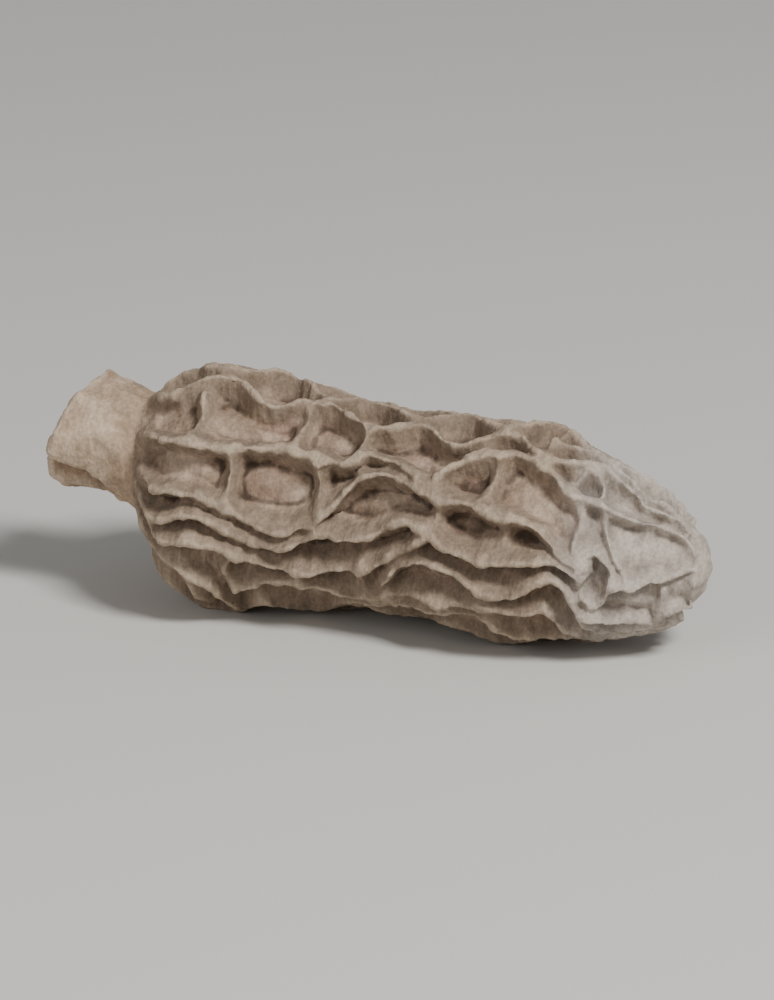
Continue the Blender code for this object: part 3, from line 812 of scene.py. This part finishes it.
# The first is where the painted shade of the stem's crease comes in.
STEM_CREASE_SHADE_BY_CAVITY, STEM_EDGE_BY_CAVITY = (0.10, 0.45, 0.0, 0.6), (-0.05, -0.40, 0.0, 0.7)
# How the tip is painted darker in its hollows, as shade, and where its grey with the painted reflection comes
# in.
TIP_PAINTED_SHADE_BY_CAVITY = (0.35, -0.1)
TIP_GREY_AND_REFLECTION_BY_PLACE, CAP_BY_PLACE = (12.5, 16.5, 0.0, 0.85), (-16.2, -14.2)  # mm along the mushroom
# The first is the flesh's own mottling; the second is painted shade in the grooves of the fine crinkles.
BRIGHTNESS_BY_SPECK, CREASE_SHADE_BY_CRINKLE = (0.35, 0.65, 0.88, 1.10), (0.38, 0.62, 0.84, 1.08)
ROUGHNESS_BY_GRAIN = (0.3, 0.7, 0.78, 0.95)
CRINKLE_BUMP, FINE_BUMP = (0.8, 0.25 * MM), (0.5, 0.05 * MM)  # strength and depth
SHINE = 0.25


def colour_noise(tree, coordinates, scale, detail=4.0, roughness=0.6):
    return add(tree, "ShaderNodeTexNoise", {"Vector": coordinates, "Scale": scale, "Detail": detail,
                                            "Roughness": roughness}).outputs[0]


def blend(tree, factor, first, second, kind="MIX"):
    """The first colour where the factor is 0, the second where it is 1."""
    made = add(tree, "ShaderNodeMix", {0: factor}, data_type="RGBA", blend_type=kind)
    for index, value in ((6, first), (7, second)):
        if isinstance(value, bpy.types.NodeSocket):
            tree.links.new(value, made.inputs[index])
        else:
            made.inputs[index].default_value = (*value, 1)
    return made.outputs[2]


def paint_flesh(material):
    tree = material.node_tree
    shader = tree.nodes["Principled BSDF"]
    spot = add(tree, "ShaderNodeTexCoord").outputs["Object"]
    crest, place, inside, cavity = (add(tree, "ShaderNodeAttribute", attribute_name=name).outputs["Fac"]
                                    for name in ("crest", "place", "inside", "cavity"))

    patches = eased(tree, colour_noise(tree, spot, FLOOR_SCALE), *PATCHES_OF_FLOOR)
    floor = blend(tree, patches, FLOOR_DARK, FLOOR_LIGHT)
    reddish = eased(tree, colour_noise(tree, spot, RED_SCALE), *PATCHES_OF_RED)
    floor = blend(tree, reddish, floor, FLOOR_RED)
    # The sides of the ribs: painted shade, darker than the floors.
    side = blend(tree, colour_noise(tree, spot, SIDE_SCALE), SIDE_SHADE_DARK, SIDE_SHADE_LIGHT)
    edge = blend(tree, colour_noise(tree, spot, EDGE_SCALE), EDGE_DARK, EDGE_LIGHT)
    cap = blend(tree, eased(tree, crest, *SIDE_SHADE_BY_CREST), floor, side)
    cap = blend(tree, eased(tree, cavity, *EDGE_BY_CAVITY), cap, edge)
    # Painted shade: the deepest folds are darkened nearly to black, where shade falls in them.
    cap = blend(tree, eased(tree, cavity, *DEEP_SHADE_BY_CAVITY), cap, DEEP_FOLD_SHADE)
    stem = blend(tree, colour_noise(tree, spot, STEM_SCALE), STEM_DARK, STEM_LIGHT)
    # Painted shade: the stem's crease and folds are darkened where they lie deepest.
    stem = blend(tree, eased(tree, cavity, *STEM_CREASE_SHADE_BY_CAVITY), stem, STEM_CREASE_SHADE)
    stem = blend(tree, eased(tree, cavity, *STEM_EDGE_BY_CAVITY), stem, STEM_EDGE)
    # The tip: painted shade in its hollows, over a grey that is partly its own and partly a painted reflection.
    tip = blend(tree, eased(tree, cavity, *TIP_PAINTED_SHADE_BY_CAVITY), TIP_GREY_IN_PAINTED_SHADE, TIP_GREY_AND_PAINTED_REFLECTION)
    tip = blend(tree, eased(tree, place, *TIP_GREY_AND_REFLECTION_BY_PLACE), cap, tip)
    whole = blend(tree, eased(tree, place, *CAP_BY_PLACE), stem, tip)
    whole = blend(tree, inside, whole, HOLLOW_BROWN)

    across = vector_maths(tree, "MULTIPLY", {0: spot, 1: CRINKLE_STRETCH})
    crinkle = colour_noise(tree, across, CRINKLE_SCALE, CRINKLE_DETAIL)
    speck = eased(tree, colour_noise(tree, spot, SPECK_SCALE, SPECK_DETAIL), *BRIGHTNESS_BY_SPECK)
    # The specks are the flesh's own mottling; the crinkles are painted darker in their grooves, as shade.
    speckle_and_crease_shade = maths(tree, "MULTIPLY", speck, eased(tree, crinkle, *CREASE_SHADE_BY_CRINKLE))
    speckle_and_crease_shade_colour = add(tree, "ShaderNodeCombineColor", {0: speckle_and_crease_shade, 1: speckle_and_crease_shade, 2: speckle_and_crease_shade}).outputs[0]
    whole = blend(tree, 1.0, whole, speckle_and_crease_shade_colour, "MULTIPLY")
    tree.links.new(whole, shader.inputs["Base Color"])

    fine = colour_noise(tree, spot, FINE_SCALE, FINE_DETAIL)
    strength, depth = CRINKLE_BUMP
    crumple = add(tree, "ShaderNodeBump", {"Strength": strength, "Distance": depth, "Height": crinkle})
    strength, depth = FINE_BUMP
    bump = add(tree, "ShaderNodeBump", {"Strength": strength, "Distance": depth, "Height": fine,
                                        "Normal": crumple.outputs[0]})
    tree.links.new(bump.outputs[0], shader.inputs["Normal"])
    tree.links.new(eased(tree, fine, *ROUGHNESS_BY_GRAIN), shader.inputs["Roughness"])
    shader.inputs["Specular IOR Level"].default_value = SHINE


paint_flesh(flesh)
print("nodes in the flesh material:", len(flesh.node_tree.nodes))

# %% [markdown]
# ## Handing over
#
# The finished skin stands for the plain solid, moves with the only body, and takes its finish from the slot
# of the dried flesh. The wire meshes have done their work and are removed.

# %% Replace the plain solid
for helper in (rib_wires, wall_wires, rim_wire):
    bpy.data.objects.remove(helper)
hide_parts(NODE)
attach(morel, "root")

# %% [markdown]
# ## Floor, light and camera
#
# The mushroom lies on one plain pale plane. A soft light stands high on the right, a larger one fills the
# shadows from the front left, and the world gives a little light from everywhere. The camera looks a little
# down, from slightly nearer the tip than the stem.

# %% Floor
FLOOR_SIZE = 1.2  # m
PAPER, PAPER_ROUGHNESS = (0.62, 0.60, 0.56, 1), 0.85


def studio_floor():
    bpy.ops.mesh.primitive_plane_add(size=FLOOR_SIZE, location=(0, 0, 0))
    floor = bpy.context.object
    floor.name = "studio_floor"
    paper = bpy.data.materials.new("pale_paper")
    paper.use_nodes = True
    shader = paper.node_tree.nodes["Principled BSDF"]
    shader.inputs["Base Color"].default_value = PAPER
    shader.inputs["Roughness"].default_value = PAPER_ROUGHNESS
    floor.data.materials.append(paper)
    print("floor:", FLOOR_SIZE, "m wide")


studio_floor()


# %% Lights
KEY = ((0.62, -0.42, 0.85), 0.5, 0.12, 2.8)  # which way it stands, how far in m, its size in m, its power in W
FILL = ((-0.5, -0.95, 0.5), 0.6, 0.4, 0.9)
WORLD_COLOUR, WORLD_STRENGTH = (0.95, 0.97, 1.0, 1), 0.25


def soft_light(name, direction, distance, size, power):
    light = bpy.data.lights.new(name, "AREA")
    light.size = size
    light.energy = power
    lamp = bpy.data.objects.new(name, light)
    lamp.location = Vector(direction).normalized() * distance
    lamp.rotation_euler = (-lamp.location).to_track_quat("-Z", "Y").to_euler()
    bpy.context.scene.collection.objects.link(lamp)
    print(name, "light:", power, "W")


soft_light("key", *KEY)
soft_light("fill", *FILL)
world = bpy.data.worlds.new("studio")
bpy.context.scene.world = world
world.use_nodes = True
sky = world.node_tree.nodes["Background"]
sky.inputs["Color"].default_value = WORLD_COLOUR
sky.inputs["Strength"].default_value = WORLD_STRENGTH

# %% Camera
AZIMUTH, ELEVATION, DISTANCE = math.radians(18), math.radians(18), 0.45
SHARE_OF_WIDTH = 0.84  # how much of the picture's width the mushroom's length takes
NEAREST = 0.01  # m


def place_camera():
    target = (low + high) / 2
    level = math.cos(ELEVATION)
    away = Vector((math.sin(AZIMUTH) * level, -math.cos(AZIMUTH) * level, math.sin(ELEVATION)))
    lens = bpy.data.cameras.new("camera")
    camera = bpy.data.objects.new("camera", lens)
    camera.location = target + away * DISTANCE
    camera.rotation_euler = (-away).to_track_quat("-Z", "Y").to_euler()
    seen_width = (high - low).x * math.cos(AZIMUTH) / SHARE_OF_WIDTH
    lens.sensor_fit = "HORIZONTAL"
    lens.lens = lens.sensor_width * DISTANCE / seen_width
    lens.clip_start = NEAREST
    bpy.context.scene.collection.objects.link(camera)
    bpy.context.scene.camera = camera
    print("lens:", round(lens.lens), "mm")


place_camera()
